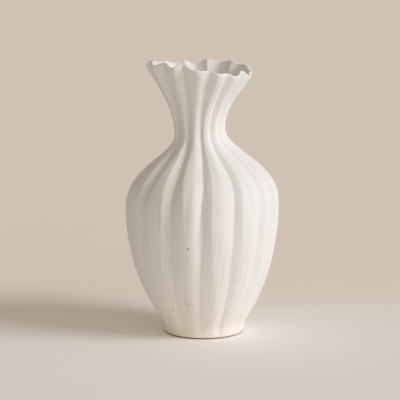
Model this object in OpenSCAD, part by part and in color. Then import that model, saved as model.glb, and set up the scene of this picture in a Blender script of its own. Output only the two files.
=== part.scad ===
// Fluted vase with a ruffled mouth, standing on felt pads.
// Millimetres, +Z up. The origin is on the table, under the middle of the vase.
// Angles go round from the front, which faces -Y, towards +X on the right.

/* [Wall] */
// Radius of the wall where it stands on the floor slab
foot_r = 46.5; // [40:0.5:55]
// Radius over the ridges at the belly's widest line
belly_r = 86; // [70:1:95]
// Height of the belly's widest line above the table
belly_z = 146; // [125:1:165]
// Radius over the ridges at the neck's narrowest line
neck_r = 28.3; // [26:0.1:36]
// Height of the neck's narrowest line above the table
neck_z = 228; // [215:1:240]
// Radius over the ridges at the rim
rim_r = 60.5; // [50:0.5:68]
// Height of the rim above the table, as a mean round it
rim_z = 300; // [285:1:320]
// How far the flare still leans out at the rim, in degrees from upright
rim_flare = 18; // [10:1:30]
// Thickness of the wall below the neck
wall_t = 4; // [3:0.1:5]
// Thickness of the rounded lip
lip_t = 3.8; // [2.4:0.1:4]

/* [Grooves] */
// Depth of a full groove where it runs out above the foot
foot_groove_depth = 1.6; // [0.5:0.1:3]
// Depth of a full groove at the belly
belly_groove_depth = 4.4; // [2:0.1:6]
// Depth of a full groove on the shoulder
shoulder_groove_depth = 5; // [2:0.1:6]
// Depth of a full groove at the neck
neck_groove_depth = 3.4; // [1.5:0.1:4]
// Depth of a full groove at the rim
rim_groove_depth = 6; // [3:0.1:8]

/* [Rim] */
// How far the rim dips at the right and stands up at the left, past its lean
rim_slope = 3; // [0:0.5:6]
// How far the rim stands up at a full ruffle, or droops between two grooves
ruffle_rise = 3; // [0:0.1:4]

/* [Hand-made lean] */
// How far the belly's middle stands left of the foot's
belly_lean = 1.7; // [0:0.1:3]
// How far the neck's middle stands left of the foot's
neck_lean = 4.2; // [0:0.1:6]
// How far the rim's middle stands left of the foot's
rim_lean = 4; // [0:0.1:6]
// How much higher the belly's widest line is at the right than at the front
belly_lift = 4; // [0:0.1:6]
// How much higher the neck's narrowest line is at the right than at the front
neck_lift = 3.2; // [0:0.1:6]
// How much lower the rim is at the right than at the front
rim_drop = 3.4; // [0:0.1:6]

/* [Floor slab] */
// Thickness of the slab at its foot ring
slab_t = 8; // [6:0.5:12]
// How much narrower the slab is at its underside than at the wall
slab_taper = 1.6; // [0.5:0.1:3]
// Radius of the rounded edge round the underside
slab_edge_r = 1.4; // [0.5:0.1:2.5]
// Width of the flat foot ring
foot_ring_w = 11; // [9.5:0.5:16]
// Depth of the hollow inside the foot ring
foot_hollow_depth = 2; // [1:0.1:3]

/* [Glaze lining] */
// Thickness of the glaze inside, from the floor up to the neck
glaze_t = 0.5; // [0.3:0.1:1]

/* [Felt pads] */
// Radius of a pad
pad_r = 4.5; // [3:0.1:4.7]
// Thickness of a pad
pad_t = 1.2; // [0.8:0.1:2]

/* [Hidden] */

// How long each handle of the wall's three curves is, as a share of its curve's height
foot_curve_share = 0.05;
belly_low_share = 0.635;
belly_high_share = 0.548;
neck_low_share = 0.30;
neck_high_share = 0.446;
rim_curve_share = 0.214;

// One entry a groove, from the front one round to the right and back to the front.
// Where the groove runs, off its even place, as shares of the step between two grooves
belly_place_shares = [-0.03, -0.03, -0.08, -0.05, 0.04, 0.06, -0.02, -0.05, 0.03, 0.05, 0, -0.04, -0.05, 0.01];
shoulder_place_shares = [0.07, 0.1, 0.06, 0, 0.03, 0.08, 0, 0, 0.05, 0.03, -0.04, -0.08, -0.02, 0.05];
neck_place_shares = [0.12, -0.04, -0.08, 0, 0, 0.08, -0.04, 0.06, 0.1, 0, -0.08, -0.1, -0.4, -0.12];
rim_place_shares = [0.42, 0.25, 0.18, 0.45, 0.55, 0.42, 0.65, 0.8, 0.92, 0.65, 0.35, 0.1, 0.27, 0.22];
// How deep the groove is, as shares of a full groove's depth at that height
belly_depth_shares = [1, 0.95, 0.8, 0.7, 0.9, 1, 0.8, 1, 0.95, 0.9, 0.7, 0.4, 0.1, 1.2];
shoulder_depth_shares = [1, 0.95, 0.75, 0.8, 0.95, 1, 0.9, 1, 0.95, 0.95, 0.8, 1, 1.5, 1.2];
neck_depth_shares = [0.75, 0.45, 0.6, 0.9, 1, 0.9, 1, 1, 0.95, 1, 0.9, 1, 1.3, 1.4];
rim_depth_shares = [1.05, 0.7, 0.85, 0.3, 0.3, 0.8, 1, 1.1, 1, 0.9, 0.8, 0.9, 1, 1.05];
// How far the groove reaches to the left of its line, as shares of the way to the next groove
foot_left_shares = [0.4, 0.4, 0.36, 0.4, 0.4, 0.4, 0.5, 0.4, 0.4, 0.4, 0.5, 0.4, 0.3, 0.45];
belly_left_shares = [0.34, 0.44, 0.36, 0.4, 0.36, 0.36, 0.44, 0.36, 0.34, 0.36, 0.42, 0.4, 0.3, 0.24];
shoulder_left_shares = [0.4, 0.46, 0.4, 0.42, 0.4, 0.4, 0.44, 0.38, 0.4, 0.38, 0.44, 0.4, 0.26, 0.36];
neck_left_shares = [0.46, 0.5, 0.45, 0.42, 0.4, 0.42, 0.44, 0.4, 0.42, 0.4, 0.42, 0.4, 0.4, 0.24];
rim_left_shares = [0.42, 0.46, 0.5, 0.5, 0.5, 0.5, 0.5, 0.5, 0.5, 0.5, 0.5, 0.5, 0.48, 0.36];
// How far it reaches to the right
foot_right_shares = [0.54, 0.4, 0.34, 0.4, 0.34, 0.36, 0.32, 0.4, 0.42, 0.38, 0.36, 0.4, 0.4, 0.66];
belly_right_shares = [0.31, 0.32, 0.28, 0.34, 0.36, 0.32, 0.3, 0.36, 0.36, 0.36, 0.32, 0.32, 0.4, 0.48];
shoulder_right_shares = [0.31, 0.32, 0.26, 0.34, 0.36, 0.34, 0.3, 0.36, 0.36, 0.36, 0.34, 0.32, 0.36, 0.34];
neck_right_shares = [0.26, 0.44, 0.42, 0.42, 0.44, 0.42, 0.4, 0.44, 0.42, 0.44, 0.42, 0.42, 0.85, 0.48];
rim_right_shares = [0.42, 0.46, 0.48, 0.5, 0.5, 0.5, 0.48, 0.5, 0.5, 0.5, 0.5, 0.5, 0.7, 0.58];
// How much of its left and right side goes into the soft edge, and of both into the rounded bottom
left_edge_shares = [0.5, 0.6, 0.5, 0.5, 0.4, 0.5, 0.6, 0.5, 0.4, 0.5, 0.6, 0.5, 0.3, 0.22];
right_edge_shares = [0.15, 0.4, 0.4, 0.3, 0.4, 0.3, 0.2, 0.4, 0.3, 0.4, 0.3, 0.2, 0.3, 0.15];
bottom_share = 0.07;
// How high the rim stands at each groove, and on the ridge right of it, as shares of the full ruffle
rim_peak_shares = [-0.1, -0.5, 0.5, -0.9, 1, 1.6, 0.8, -0.7, -1.1, -1.1, -0.9, 0.1, 0.7, 1.3];
rim_dip_shares = [-0.8, -1.3, -1.3, -0.4, 0.6, 0.3, -2, -1.9, -1.9, -1.6, -1.4, -1.2, -0.6, -0.4];
// How far all the grooves have turned to the left by the time they reach the foot
foot_turn_share = 0.14;
// Where the shoulder's grooves are deepest, as a share of the way from belly to neck
shoulder_share = 0.5;

// Columns of points between two grooves, closer together in the grooves
column_shares = [0, 0.08, 0.17, 0.27, 0.36, 0.5, 0.64, 0.78, 0.9];
// Rings of points up the outside, in each of the wall's three curves
low_rings = 12;
shoulder_rings = 8;
flare_rings = 8;
// How much closer together the rings lie towards the belly
belly_crowding = 1.3;
// Every how many rings the smoother inside has one
inside_step = 2;
// Steps round the lip, from the outside to the inside
lip_steps = 4;
// Sides of the round pieces
$fn = 96;
pad_angles = [45, 135, 225, 315];

seat_z = pad_t + slab_t;
shoulder_z = belly_z + shoulder_share * (neck_z - belly_z);
groove_count = len(belly_place_shares);
groove_step = 360 / groove_count;
column_count = groove_count * len(column_shares);

function cubic(p, t) =
    pow(1 - t, 3) * p[0] + 3 * pow(1 - t, 2) * t * p[1] + 3 * (1 - t) * t * t * p[2] + pow(t, 3) * p[3];

function cubic_slope(p, t) =
    3 * pow(1 - t, 2) * (p[1] - p[0]) + 6 * (1 - t) * t * (p[2] - p[1]) + 3 * t * t * (p[3] - p[2]);

// Goes smoothly from 0 to 1 as x does
function ease(x) =
    let (c = max(0, min(1, x)))
    c * c * (3 - 2 * c);

// A value at height z, eased between the [height, value] pairs of a list
function at_height(pairs, z) =
    let (
        i = max([0, for (k = [0 : len(pairs) - 2]) if (z >= pairs[k][0]) k]),
        low = pairs[i],
        high = pairs[i + 1]
    )
    low[1] + (high[1] - low[1]) * ease((z - low[0]) / (high[0] - low[0]));

// The wall's outline over its ridges: foot to belly, belly to neck, neck to rim, as [radius, height]
low_h = belly_z - seat_z;
shoulder_h = neck_z - belly_z;
flare_h = rim_z - neck_z;
rim_handle = rim_curve_share * flare_h;
outline = [
    [
        [foot_r, seat_z],
        [foot_r, seat_z + foot_curve_share * low_h],
        [belly_r, belly_z - belly_low_share * low_h],
        [belly_r, belly_z]
    ],
    [
        [belly_r, belly_z],
        [belly_r, belly_z + belly_high_share * shoulder_h],
        [neck_r, neck_z - neck_low_share * shoulder_h],
        [neck_r, neck_z]
    ],
    [
        [neck_r, neck_z],
        [neck_r, neck_z + neck_high_share * flare_h],
        [rim_r - rim_handle * sin(rim_flare), rim_z - rim_handle * cos(rim_flare)],
        [rim_r, rim_z]
    ]
];
flare_curve = 2;
rim_climb = cubic_slope(outline[flare_curve], 1).y;

// A ring is [curve, share of the way up that curve]
outside_rings = [
    for (k = [0 : low_rings]) [0, 1 - pow(1 - k / low_rings, belly_crowding)],
    for (k = [1 : shoulder_rings]) [1, pow(k / shoulder_rings, belly_crowding)],
    for (k = [1 : flare_rings]) [flare_curve, k / flare_rings]
];
inside_rings = [for (k = [0 : inside_step : len(outside_rings) - 1]) outside_rings[k]];
glazed_rings = [for (ring = inside_rings) if (ring[0] < flare_curve) ring];

// A column is [groove on its left, share of the way to the next groove]
columns = [for (i = [0 : groove_count - 1]) for (u = column_shares) [i, u]];

// Angle at which a groove runs at height z, also for the first groove met again
function groove_angle(i, z) =
    let (
        k = i % groove_count,
        places = [
            [seat_z, belly_place_shares[k] - foot_turn_share],
            [belly_z, belly_place_shares[k]],
            [shoulder_z, shoulder_place_shares[k]],
            [neck_z, neck_place_shares[k]],
            [rim_z, rim_place_shares[k]]
        ]
    )
    groove_step * (i + at_height(places, z));

function column_angle(column, z) =
    let (left = groove_angle(column[0], z), right = groove_angle(column[0] + 1, z))
    left + column[1] * (right - left);

// Depth on a groove's line at height z: no groove is left where the wall meets the slab
function groove_depth(i, z) =
    let (
        k = i % groove_count,
        depths = [
            [seat_z, 0],
            [seat_z + slab_t, foot_groove_depth * belly_depth_shares[k]],
            [belly_z, belly_groove_depth * belly_depth_shares[k]],
            [shoulder_z, shoulder_groove_depth * shoulder_depth_shares[k]],
            [neck_z, neck_groove_depth * neck_depth_shares[k]],
            [rim_z, rim_groove_depth * rim_depth_shares[k]]
        ]
    )
    at_height(depths, z);

// How far a groove reaches to one side at height z: shares has its reach at five heights
function groove_reach(shares, z) =
    let (heights = [seat_z, belly_z, shoulder_z, neck_z, rim_z])
    at_height([for (k = [0 : len(heights) - 1]) [heights[k], shares[k]]], z);

function left_reach(i, z) =
    groove_reach([
        foot_left_shares[i], belly_left_shares[i], shoulder_left_shares[i], neck_left_shares[i], rim_left_shares[i]
    ], z);

function right_reach(i, z) =
    groove_reach([
        foot_right_shares[i], belly_right_shares[i], shoulder_right_shares[i], neck_right_shares[i],
        rim_right_shares[i]
    ], z);

// One side of a groove: 1 on its line, a flat slope with a rounded bottom and a soft edge, 0 past its reach
function channel(offset, reach, edge_share) =
    let (
        x = min(1, offset / reach),
        fall = 1 / (1 - (bottom_share + edge_share) / 2)
    )
    x < bottom_share ? 1 - fall * x * x / (2 * bottom_share)
    : x > 1 - edge_share ? fall * pow(1 - x, 2) / (2 * edge_share)
    : 1 - fall * (x - bottom_share / 2);

function pressed_in(column, z) =
    let (
        i = column[0],
        u = column[1],
        next = (i + 1) % groove_count,
        right_side = channel(u, right_reach(i, z), right_edge_shares[i]),
        left_side = channel(1 - u, left_reach(next, z), left_edge_shares[next])
    )
    groove_depth(i, z) * right_side + groove_depth(next, z) * left_side;

// How high the rim stands over its mean at a column
function ruffle(column) =
    let (
        i = column[0],
        u = column[1],
        peak = rim_peak_shares[u < 0.5 ? i : (i + 1) % groove_count],
        dip = rim_dip_shares[i]
    )
    ruffle_rise * (dip + (peak - dip) * (1 + cos(360 * u)) / 2);

function wall_thickness(z) = at_height([[neck_z, wall_t], [rim_z, lip_t]], z);

// A point of one column and ring, inset from the outside, and climb past it along the outline
function wall_point(column, ring, inset, climb = 0) =
    let (
        curve = outline[ring[0]],
        z = cubic(curve, ring[1]).y,
        turn = column_angle(column, z),
        rise = ruffle(column) - rim_slope * sin(turn),
        t = ring[1] * (ring[0] == flare_curve ? 1 + rise / rim_climb : 1),
        place = cubic(curve, t),
        slope = cubic_slope(curve, t),
        up = slope / norm(slope),
        r = place.x - pressed_in(column, z) - inset * up.y + climb * up.x,
        middle = at_height([[seat_z, 0], [belly_z, -belly_lean], [neck_z, -neck_lean], [rim_z, -rim_lean]], z),
        lift = at_height([[seat_z, 0], [belly_z, belly_lift], [neck_z, neck_lift], [rim_z, -rim_drop]], z)
    )
    [
        middle + r * sin(turn),
        -r * cos(turn),
        place.y + inset * up.x + climb * up.y + lift * sin(turn)
    ];

function wall_ring(ring, inset, climb = 0) = [for (column = columns) wall_point(column, ring, inset, climb)];

function inside_ring(ring, glaze = 0) =
    wall_ring(ring, wall_thickness(cubic(outline[ring[0]], ring[1]).y) + glaze);

function reversed(list) = [for (k = [len(list) - 1 : -1 : 0]) list[k]];

// Triangles between two rings of points, which start at places a and b in the list of points
function band(a, b) = [
    for (k = [0 : column_count - 1])
        let (next = (k + 1) % column_count)
        each [[a + k, a + next, b + next], [a + k, b + next, b + k]]
];

// Triangles between a ring that starts at place a and one point
function fan(a, point) = [for (k = [0 : column_count - 1]) [a + k, a + (k + 1) % column_count, point]];

function flat(lists) = [for (list = lists) each list];

function flipped(triangles) = [for (corners = triangles) reversed(corners)];

// The clay wall: up the outside, over the rounded lip, down the inside and out along the flat seat
module fluted_wall() {
    rim = outside_rings[len(outside_rings) - 1];
    lip = [
        for (k = [1 : lip_steps - 1])
            let (angle = 180 * k / lip_steps)
            wall_ring(rim, lip_t / 2 * (1 - cos(angle)), lip_t / 2 * sin(angle))
    ];
    rings = concat(
        [for (ring = outside_rings) wall_ring(ring, 0)],
        lip,
        [for (ring = reversed(inside_rings)) inside_ring(ring)]
    );
    count = len(rings);
    bands = [for (k = [0 : count - 1]) band(k * column_count, (k + 1) % count * column_count)];
    color("whitesmoke")
        polyhedron(points = flat(rings), faces = flipped(flat(bands)), convexity = 10);
}

// The round floor under the wall, with a rounded lower edge and a shallow hollow inside its foot ring
module floor_slab() {
    bottom_r = foot_r - slab_taper;
    edge_middle = [bottom_r - slab_edge_r, pad_t + slab_edge_r];
    hollow_r = bottom_r - slab_edge_r - foot_ring_w;
    edge_steps = 6;
    side = [
        for (k = [0 : edge_steps])
            let (angle = 90 * k / edge_steps)
            edge_middle + slab_edge_r * [sin(angle), -cos(angle)]
    ];
    color("linen")
        rotate_extrude()
            polygon(concat(
                [[0, pad_t + foot_hollow_depth]],
                [[hollow_r - foot_hollow_depth, pad_t + foot_hollow_depth]],
                [[hollow_r, pad_t]],
                side,
                [[foot_r, seat_z]],
                [[0, seat_z]]
            ));
}

// The glaze coat inside: a thin cup that lies on the wall's inside and on the floor slab
module glaze_lining() {
    outer = [for (ring = reversed(glazed_rings)) inside_ring(ring)];
    inner = [
        for (k = [0 : len(glazed_rings) - 1])
            [
                for (point = inside_ring(glazed_rings[k], glaze_t))
                    k == 0 ? [point.x, point.y, seat_z + glaze_t] : point
            ]
    ];
    rings = concat(outer, inner);
    count = len(rings);
    turn = len(outer);
    under = count * column_count;
    bands = [
        for (k = [0 : count - 1])
            if (k != turn - 1)
                band(k * column_count, (k + 1) % count * column_count)
    ];
    caps = concat(
        fan((turn - 1) * column_count, under),
        flipped(fan(turn * column_count, under + 1))
    );
    color("gainsboro")
        polyhedron(
            points = concat(flat(rings), [[0, 0, seat_z], [0, 0, seat_z + glaze_t]]),
            faces = concat(flat(bands), caps),
            convexity = 10
        );
}

// One felt pad, stuck under the middle of the foot ring
module foot_pad(angle) {
    ring_middle = foot_r - slab_taper - slab_edge_r - foot_ring_w / 2;
    color("silver")
        rotate([0, 0, angle])
            translate([ring_middle, 0, 0])
                cylinder(r = pad_r, h = pad_t);
}

fluted_wall();
floor_slab();
glaze_lining();
foot_pad(pad_angles[0]);  // foot_pad_1
foot_pad(pad_angles[1]);  // foot_pad_2
foot_pad(pad_angles[2]);  // foot_pad_3
foot_pad(pad_angles[3]);  // foot_pad_4
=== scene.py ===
"""A fluted, chalk-white clay vase with a ruffled mouth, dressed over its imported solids.

Places and sizes inside the classes are millimetres, as the potter would measure them, and the
mesh maker turns them into metres. Angles go round from the front, which faces -Y, to the right,
but for the pads'. A place round the wall is given in grooves: 0 is the front groove, and so is 14.
"""

import logging
import math
from collections.abc import Callable
from dataclasses import dataclass, field
from enum import Enum

import bpy
import numpy as np
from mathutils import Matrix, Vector


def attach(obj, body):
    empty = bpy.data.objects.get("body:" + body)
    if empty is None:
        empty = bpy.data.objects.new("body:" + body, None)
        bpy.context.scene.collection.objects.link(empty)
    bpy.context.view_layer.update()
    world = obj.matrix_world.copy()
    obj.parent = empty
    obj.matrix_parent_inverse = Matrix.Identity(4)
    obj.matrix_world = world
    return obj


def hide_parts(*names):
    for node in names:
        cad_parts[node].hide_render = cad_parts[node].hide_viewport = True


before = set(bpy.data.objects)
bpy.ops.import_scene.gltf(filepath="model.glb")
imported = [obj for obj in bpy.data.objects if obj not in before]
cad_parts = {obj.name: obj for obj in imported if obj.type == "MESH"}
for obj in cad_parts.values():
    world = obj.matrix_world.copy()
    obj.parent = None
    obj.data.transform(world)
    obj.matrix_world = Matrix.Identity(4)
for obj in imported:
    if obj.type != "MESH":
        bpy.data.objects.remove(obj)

log = logging.getLogger("vase")

MM = 0.001
TINY = 1e-12
BODY = "root"
GROOVES = 14
# Where the pads stand round the foot, in degrees from the right side towards the back
PAD_ANGLES = (45, 135, 225, 315)
# Points along a curve when its length is measured
CURVE_SAMPLES = 400
# A pin hole has so many corners, the first at its lower left
PIT_SIDES = 8
PIT_START = math.radians(225)
# Its rings from the mouth down: how deep and how wide each is, as shares of the hole's own depth and width
PIT_RINGS = ((0.0, 1.0), (0.55, 0.8), (1.0, 0.4))
# How dark its mouth is, where its floor is 1
MOUTH_DARKNESS = 0.4

Array = np.ndarray


class Curve(Enum):
    """The three curves of the wall's outline, from the foot up."""

    LOW = 0
    SHOULDER = 1
    FLARE = 2


class Mark(Enum):
    """The vertex marks that the finishes read."""

    FLOW = "flow"
    BARE = "bare"
    # How dark the pin holes are, most at their floors
    DIRT = "darkness"
    # Painted shade: the coat darker deep in the grooves, the inside glaze darker towards its floor
    HOLLOW = "hollow"


# Numbers and meshes


def ease(x: Array) -> Array:
    """Go smoothly from 0 to 1 as x does."""
    c = np.clip(x, 0, 1)
    return c * c * (3 - 2 * c)


def eased(z: Array, heights: list[float], values: list[Array | float]) -> Array:
    """Ease from one value to the next as the height rises.

    Args:
        z: Heights.
        heights: The height of each value, from the lowest up.
        values: A number for each height, or an array with one number a column.

    Returns:
        The value at each height.
    """
    total = values[0] + np.zeros_like(z)
    for k in range(len(heights) - 1):
        share = ease((z - heights[k]) / (heights[k + 1] - heights[k]))
        total = total + (values[k + 1] - values[k]) * share
    return total


def unit(v: Array) -> Array:
    """Scale each vector to length 1."""
    return v / np.maximum(np.linalg.norm(v, axis=-1, keepdims=True), TINY)


def bezier(p: Array, t: Array) -> Array:
    """Give the places at shares t of the way along the cubic curve with the four handles p."""
    return (1 - t) ** 3 * p[0] + 3 * (1 - t) ** 2 * t * p[1] + 3 * (1 - t) * t**2 * p[2] + t**3 * p[3]


def of_grooves(table: tuple, k: Array) -> Array:
    """Look up the number of each groove k in a table that goes round the vase."""
    return np.array(table, float)[k % GROOVES]


def around(radius: Array | float, turn: Array, z: Array | float) -> Array:
    """Place points round the middle, at angles from the front."""
    return np.stack(np.broadcast_arrays(radius * np.sin(turn), -radius * np.cos(turn), z), -1)


def placed(name: str, data: bpy.types.ID) -> bpy.types.Object:
    """Make an object and put it in the scene.

    Args:
        name: The object's name.
        data: Its mesh, lamp or camera.

    Returns:
        The new object.
    """
    made = bpy.data.objects.new(name, data)
    bpy.context.scene.collection.objects.link(made)
    return made


@dataclass(frozen=True)
class Waves:
    """Smooth random waves on the unrolled wall, which close on themselves round the vase."""

    seed: int
    round_count: int
    tall: float
    rows: int = 512
    first_row: int = 200

    def at(self, groove: Array, climb: Array) -> Array:
        """Read the waves.

        Args:
            groove: Places round the wall, in grooves.
            climb: Lengths up the outline.

        Returns:
            Numbers from -1 to 1.
        """
        table = np.random.default_rng(self.seed).uniform(-1, 1, (self.rows, self.round_count))
        x = np.mod(groove, GROOVES) / GROOVES * self.round_count
        y = climb / self.tall + self.first_row
        column, row = np.floor(x).astype(int), np.floor(y).astype(int)
        across, up = ease(x - column), ease(y - row)
        left, right = column % self.round_count, (column + 1) % self.round_count
        under, over = row % self.rows, (row + 1) % self.rows
        low = table[under, left] * (1 - across) + table[under, right] * across
        high = table[over, left] * (1 - across) + table[over, right] * across
        return low * (1 - up) + high * up


@dataclass(frozen=True)
class Pit:
    """A pin hole in the coat, sunk into one face of the wall's grid, which a width of 1 would fill."""

    ring: int
    column: int
    width: float
    depth: float
    roundness: float = 0.55


@dataclass
class Grid:
    """Rings of points that become one mesh, with a mark for each point."""

    points: Array
    marks: dict[Mark, Array] = field(default_factory=dict)
    normals: Array | None = None
    closed: bool = False
    capped: bool = False

    def quads(self) -> Array:
        """List the faces between the rings.

        Returns:
            The numbers of each face's four corners.
        """
        rings, columns = self.points.shape[:2]
        low = np.arange(rings if self.closed else rings - 1)[:, None]
        left = np.arange(columns)[None, :]
        high, right = (low + 1) % rings, (left + 1) % columns
        around = ((low, left), (low, right), (high, right), (high, left))
        corners = [ring * columns + column for ring, column in around]
        return np.stack(np.broadcast_arrays(*corners), -1).reshape(-1, 4)

    def outward(self) -> Array:
        """Work out each point's outward direction from its four neighbours.

        Returns:
            A vector of length 1 for each point.
        """
        p = self.points
        across = np.roll(p, -1, 1) - np.roll(p, 1, 1)
        if self.closed:
            up = np.roll(p, -1, 0) - np.roll(p, 1, 0)
        else:
            up = np.gradient(p, axis=0)
        return unit(np.cross(across, up))

    def piece(self, name: str, pits: list[Pit] | None = None) -> bpy.types.Object:
        """Make the mesh and its object.

        Args:
            name: The object's name.
            pits: Pin holes to sink into the faces.

        Returns:
            The new object, smooth shaded, linked to the scene.
        """
        columns = self.points.shape[1]
        spots = [self.points.reshape(-1, 3)]
        marks = {mark: [value.reshape(-1, *value.shape[2:])] for mark, value in self.marks.items()}
        faces = self.quads()
        extra: list[list[int]] = []
        if self.capped:
            count = len(spots[0])
            for end, ring in enumerate((0, self.points.shape[0] - 1)):
                spots.append(self.points[ring].mean(0, keepdims=True))
                for mark in marks:
                    marks[mark].append(self.marks[mark][ring].mean(0, keepdims=True))
                rim = [ring * columns + k for k in range(columns)]
                for k in range(columns):
                    pair = [rim[k], rim[(k + 1) % columns]]
                    extra.append((pair[::-1] if end == 0 else pair) + [count + end])
        if pits:
            faces, holes = self.sink(faces, pits, spots, marks)
            extra += holes
        mesh = bpy.data.meshes.new(name)
        mesh.from_pydata((np.concatenate(spots) * MM).tolist(), [], faces.tolist() + extra)
        mesh.polygons.foreach_set("use_smooth", np.ones(len(mesh.polygons), bool))
        for mark, values in marks.items():
            value = np.concatenate(values).astype(np.float32)
            kind = "FLOAT_VECTOR" if value.ndim == 2 else "FLOAT"
            slot = mesh.attributes.new(mark.value, kind, "POINT")
            slot.data.foreach_set("vector" if value.ndim == 2 else "value", value.ravel())
        if mesh.validate():
            raise ValueError(f"{name} has faces that the mesh can't keep")
        if self.normals is not None:
            given = np.zeros((len(mesh.vertices), 3))
            given[: self.normals.size // 3] = self.normals.reshape(-1, 3)
            mesh.normals_split_custom_set_from_vertices(given.tolist())
        mesh.update()
        return placed(name, mesh)

    def sink(
        self, faces: Array, pits: list[Pit], spots: list[Array], marks: dict[Mark, list[Array]]
    ) -> tuple[Array, list[list[int]]]:
        """Take out the face at each pin hole and put a pit in its place.

        Args:
            faces: The grid's faces.
            pits: The pin holes.
            spots: The points so far, to which the pits' points are added.
            marks: The marks so far, to which the pits' marks are added.

        Returns:
            The faces that stay, and the pits' own faces.
        """
        columns = self.points.shape[1]
        count = sum(len(part) for part in spots)
        normals = self.outward().reshape(-1, 3)
        turns = [PIT_START + 2 * math.pi / PIT_SIDES * k for k in range(PIT_SIDES)]
        taken: set[int] = set()
        extra: list[list[int]] = []
        for pit in pits:
            face = pit.ring * columns + pit.column % columns
            if face in taken:
                continue
            taken.add(face)
            corners = faces[face]
            p = spots[0][corners]
            middle, out = p.mean(0), unit(normals[corners].mean(0))
            across, up = (p[1] + p[2] - p[0] - p[3]) / 4, (p[2] + p[3] - p[0] - p[1]) / 4
            for sink, width in PIT_RINGS:
                reach = pit.width * width
                circle = [
                    middle
                    + reach * (math.cos(a) * across + pit.roundness * math.sin(a) * up)
                    - sink * pit.depth * out
                    for a in turns
                ]
                spots.append(np.array(circle))
                for mark in marks:
                    value = self.marks[mark].reshape(-1, *self.marks[mark].shape[2:])[corners].mean(0)
                    darkness = np.full_like(value, MOUTH_DARKNESS + (1 - MOUTH_DARKNESS) * sink)
                    marks[mark].append(np.repeat((darkness if mark is Mark.DIRT else value)[None], PIT_SIDES, 0))
            rim = [count + k for k in range(PIT_SIDES)]
            for side in range(4):
                a, b, c = rim[2 * side], rim[2 * side + 1], rim[(2 * side + 2) % PIT_SIDES]
                here, there = int(corners[side]), int(corners[(side + 1) % 4])
                extra += [[here, b, a], [here, there, b], [there, c, b]]
            for low in range(count, count + PIT_SIDES * (len(PIT_RINGS) - 1), PIT_SIDES):
                for k in range(PIT_SIDES):
                    after = low + (k + 1) % PIT_SIDES
                    extra.append([low + k, after, after + PIT_SIDES, low + k + PIT_SIDES])
            count += PIT_SIDES * len(PIT_RINGS)
            extra.append([count - PIT_SIDES + k for k in range(PIT_SIDES)])
        kept = np.ones(len(faces), bool)
        kept[list(taken)] = False
        return faces[kept], extra


# The vase's form, the same as the solids' own, and the hand-made unevenness on it


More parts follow.
